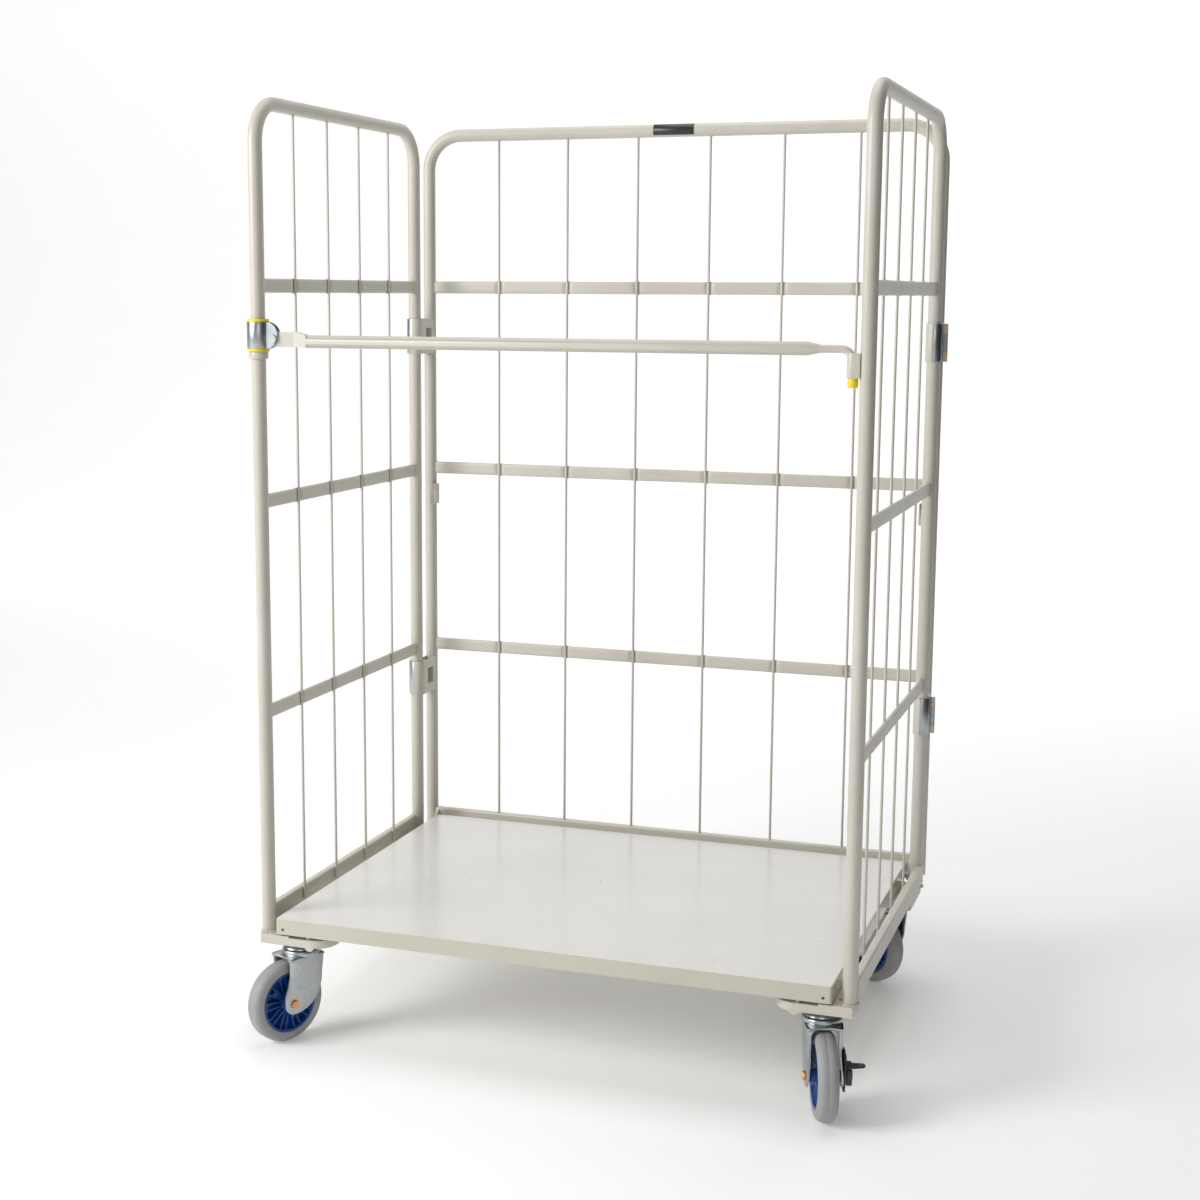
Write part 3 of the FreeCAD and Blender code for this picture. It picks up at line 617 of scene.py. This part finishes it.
# Fork leg, from the crown down: height, back edge and front edge along the trail, bulge
LEG_ROWS = (
    (159.0, -31.0, 45.0, 5.5),
    (143.0, -29.5, 44.0, 6.0),
    (125.0, -27.0, 44.5, 6.0),
    (106.0, -25.0, 49.5, 5.0),
    (93.0, -20.5, 55.5, 3.6),
    (85.0, -16.0, 57.0, 2.6),
    (77.0, -10.5, 57.6, 1.8),
    (70.0, -3.0, 57.0, 1.0),
    (65.0, 4.0, 55.0, 0.6),
    (61.0, 12.0, 51.5, 0.3),
    (57.5, 22.0, 46.0, 0.1),
    (56.0, 30.0, 40.0, 0.0),
)

# Half of the crown's outline, from its back to its nose: along the trail, then to the side
CROWN_EDGE = ((-34, 0), (-33, 14), (-31, 29), (-24, 31), (30, 31.5), (45, 30.5), (47, 27), (42, 12))

# Brake plate and pedal cam: along the trail, then up, from the axle
PLATE_EDGE = ((-14, 43), (-11, 46), (2, 46), (5, 43), (9, 34), (14, 24), (16, 10), (16, -6), (12, -18),
              (7, -26), (2, -28), (-8, -26), (-12, -20))
CAM_EDGE = ((-6, 19), (-3, 11), (8, 12), (10, 5), (8, -4), (2, -17), (-3, -18), (-7, -12), (-8, 0))


def fork_leg(bm, place, hand):
    """One bowed leg of the fork: a skin of its two faces, row by row from the crown down."""
    thick = Vector((0, hand * FORK_T * 0.9, 0))
    rings = []
    for level, back, front, bulge in LEG_ROWS:
        row = []
        for k in range(17):
            t = -1 + k / 8
            bow = bulge * (math.sqrt(max(0.0, 1 - t * t)) - 0.75)
            row.append(Vector(((back + front) / 2 + t * (front - back) / 2, hand * (FORK_IN + bow), level)))
        rings.append([place @ p for p in row] + [place @ (p + thick) for p in reversed(row)])
    loft(bm, rings)


def make_fork(name):
    """A pressed fork: domed crown with a nose, raceway ring and two bowed legs with rounded feet."""
    place = caster_frame(name)[0]
    bm = bmesh.new()
    for hand in (-1, 1):
        fork_leg(bm, place, hand)
    outline = [(u, -v) for u, v in CROWN_EDGE] + list(reversed(CROWN_EDGE[1:]))
    slab(bm, outline, FORK_TOP - CROWN_T, FORK_TOP, place, 0.8)
    race = [(RACE_BORE, -0.5), (RACE_R - 0.6, -0.5), (RACE_R, 1.0), (RACE_R, 6.0), (RACE_R - 0.8, 8.6),
            (RACE_R - 2.2, 9.6), (RACE_R - 4.4, 9.6), (RACE_R - 4.6, 6), (RACE_BORE, 4)]
    lathe(bm, [(r, FORK_TOP + h) for r, h in race], place, 72)
    piece(name + "_fork_pressed", bm, "zinc", name + "_swivel", [name + "_fork"])


def make_axle(name):
    """A hex bolt through the fork with a washer, and a nut on its other end."""
    axle = axle_frame(name, -math.pi / 2)
    hand = -brake_side(name)
    near, far = hand * FORK_OUT, hand * (FORK_OUT + WASHER_T)
    bm = bmesh.new()
    lathe(bm, [(0.01, -FORK_OUT), (PIN_R, -FORK_OUT), (PIN_R, FORK_OUT), (0.01, FORK_OUT)], axle, 24)
    lathe(bm, [(0.01, near), (WASHER_R, near), (WASHER_R, far), (0.01, far)], axle, 40)
    head = (hand, FORK_OUT + 1.2, FORK_OUT + 4.5, HEAD_R)
    nut = (-hand, FORK_OUT, FORK_OUT + 4.6, NUT_R)
    for side, base, top, radius in (head, nut):
        angles = [math.pi * k / 3 for k in range(6)]
        hexagon = [(radius * math.cos(t), radius * math.sin(t)) for t in angles]
        low, high = sorted((side * base, side * top))
        slab(bm, hexagon, low, high, axle, 0.7)
    piece(name + "_axle_bolt", bm, "gold_zinc", name + "_swivel", [name + "_axle"])


def make_brake_plate(name, turn, pivot):
    """A stepped plate on the fork leg with the stub that the pedal turns on."""
    step = [(u * 0.62, v * 0.5 + 14) for u, v in PLATE_EDGE]
    pin = [(0.01, 3), (STUB_R, 3), (STUB_R, 24), (STUB_R - 0.7, 25), (0.01, 25)]
    bm = bmesh.new()
    slab(bm, PLATE_EDGE, FORK_OUT + 0.1, FORK_OUT + 3.0, turn, 0.7)
    slab(bm, step, FORK_OUT + 2.8, FORK_OUT + 5.0, turn, 0.6)
    lathe(bm, [(r, FORK_OUT + h) for r, h in pin], pivot, 28)
    piece(name + "_brake_plate_pressed", bm, "dark_steel", name + "_swivel", [name + "_brake_plate"])


def make_brake_pedal(name, turn, pivot, flat):
    """A pedal: an eye round the stub, a cam beside it and a flat tongue."""
    eye = [(EYE_BORE, 5.2), (EYE_R - 0.5, 5.2), (EYE_R, 5.8)]
    eye += [(EYE_R, 12.8), (EYE_R - 0.5, 13.4), (EYE_BORE, 13.4)]
    tongue = arc(TONGUE_END - TONGUE_R, 0, TONGUE_R, 50, -50, 8)
    tongue += [(FORK_OUT + 6, -10.5), (FORK_OUT + 6, 11)]
    bm = bmesh.new()
    lathe(bm, [(r, FORK_OUT + h) for r, h in eye], pivot, 40)
    slab(bm, CAM_EDGE, FORK_OUT + 5.8, FORK_OUT + 15.0, turn, 1.0)
    slab(bm, tongue, -2.6, 1.4, flat, 1.0)
    piece(name + "_brake_pedal_shaped", bm, "dark_steel", name + "_brake", [name + "_brake_pedal"])


def make_brake(name):
    """The brake of a front caster, on the side of the fork that carries it."""
    place, trail, axle_z = caster_frame(name)
    hand = brake_side(name)
    turn = place @ Matrix(((1, 0, 0, trail), (0, 0, hand, 0), (0, 1, 0, axle_z), (0, 0, 0, 1)))
    flat = place @ Matrix(((0, 1, 0, trail), (hand, 0, 0, 0), (0, 0, 1, axle_z + PEDAL_PIVOT), (0, 0, 0, 1)))
    pivot = turn @ Matrix.Translation((0, PEDAL_PIVOT, 0))
    make_brake_plate(name, turn, pivot)
    make_brake_pedal(name, turn, pivot, flat)


# ---------------------------------------------------------------- studio


def backdrop():
    """A pale floor that curves up into a wall far behind the cage."""
    width, front, back, radius, height = 30.0, -12.0, 7.0, 3.0, 9.0
    profile = [(front, 0.0), (back - radius, 0.0)]
    for step in range(1, 25):
        angle = math.radians(90 * step / 24)
        profile.append((back - radius + radius * math.sin(angle), radius - radius * math.cos(angle)))
    profile.append((back, height))
    verts = [(side * width / 2, y, z) for y, z in profile for side in (-1, 1)]
    faces = [(2 * i, 2 * i + 1, 2 * i + 3, 2 * i + 2) for i in range(len(profile) - 1)]
    mesh = bpy.data.meshes.new("backdrop")
    mesh.from_pydata(verts, [], faces)
    mesh.shade_smooth()
    sheet = bpy.data.objects.new("backdrop", mesh)
    sheet.data.materials.append(studio_paint("studio_paint", 0.9, 0.5))
    bpy.context.collection.objects.link(sheet)


def flag():
    """A dark card on the right, hidden from the camera, that shades the cage's right faces."""
    mesh = bpy.data.meshes.new("flag")
    x, front, back, height = 2.5, -2.4, 3.2, 3.0
    corners = [(x, front, 0.0), (x, back, 0.0), (x, back, height), (x, front, height)]
    mesh.from_pydata(corners, [], [(0, 1, 2, 3)])
    card = bpy.data.objects.new("flag", mesh)
    card.data.materials.append(studio_paint("flag_cloth", 0.03, 0.0))
    card.visible_camera = False
    bpy.context.collection.objects.link(card)


def area_light(name, place, target, size, watts):
    """A square soft box at a place, aimed at a target."""
    lamp = bpy.data.lights.new(name, "AREA")
    lamp.shape = "SQUARE"
    lamp.size = size
    lamp.energy = watts
    holder = bpy.data.objects.new(name, lamp)
    holder.location = place
    holder.rotation_euler = (Vector(target) - Vector(place)).to_track_quat("-Z", "Y").to_euler()
    bpy.context.collection.objects.link(holder)


def studio():
    """Soft boxes on both sides and above, in a bright even room."""
    backdrop()
    flag()
    cage = (0.0, 0.0, 0.8)
    area_light("key", place=(-3.4, -3.2, 2.6), target=cage, size=2.2, watts=190.0)
    area_light("fill", place=(1.6, -4.6, 2.4), target=cage, size=1.6, watts=22.0)
    area_light("top", place=(0.0, 0.6, 4.6), target=(0.0, 0.0, 0.0), size=3.0, watts=70.0)
    world = bpy.data.worlds.new("room")
    world.use_nodes = True
    world.node_tree.nodes["Background"].inputs["Color"].default_value = (1.0, 1.0, 1.0, 1.0)
    world.node_tree.nodes["Background"].inputs["Strength"].default_value = 0.25
    bpy.context.scene.world = world
    bpy.context.scene.view_settings.view_transform = "Standard"


def camera():
    """The eye-level view from the right of the open front."""
    place = Vector((1.0853, -3.3628, 1.3616))
    heading, tilt, roll = 0.3392, -0.1517, 0.0045
    lens = bpy.data.cameras.new("camera")
    lens.sensor_width = 36.0
    lens.lens = 57.52
    lens.shift_x = 0.0363
    lens.shift_y = -0.0112
    lens.clip_end = 60.0
    holder = bpy.data.objects.new("camera", lens)
    turn = Matrix.Rotation(heading, 4, "Z") @ Matrix.Rotation(math.pi / 2 + tilt, 4, "X")
    holder.matrix_world = Matrix.Translation(place) @ turn @ Matrix.Rotation(roll, 4, "Z")
    bpy.context.collection.objects.link(holder)
    bpy.context.scene.camera = holder


dress_frame()
for panel in PANELS:
    make_rails(panel)
    make_welds(panel)
for caster in CASTERS:
    make_tyre(caster)
    make_hub(caster)
    make_spacers(caster)
    make_fork(caster)
    make_axle(caster)
    if caster + "_brake_press" in JOINTS:
        make_brake(caster)
studio()
camera()
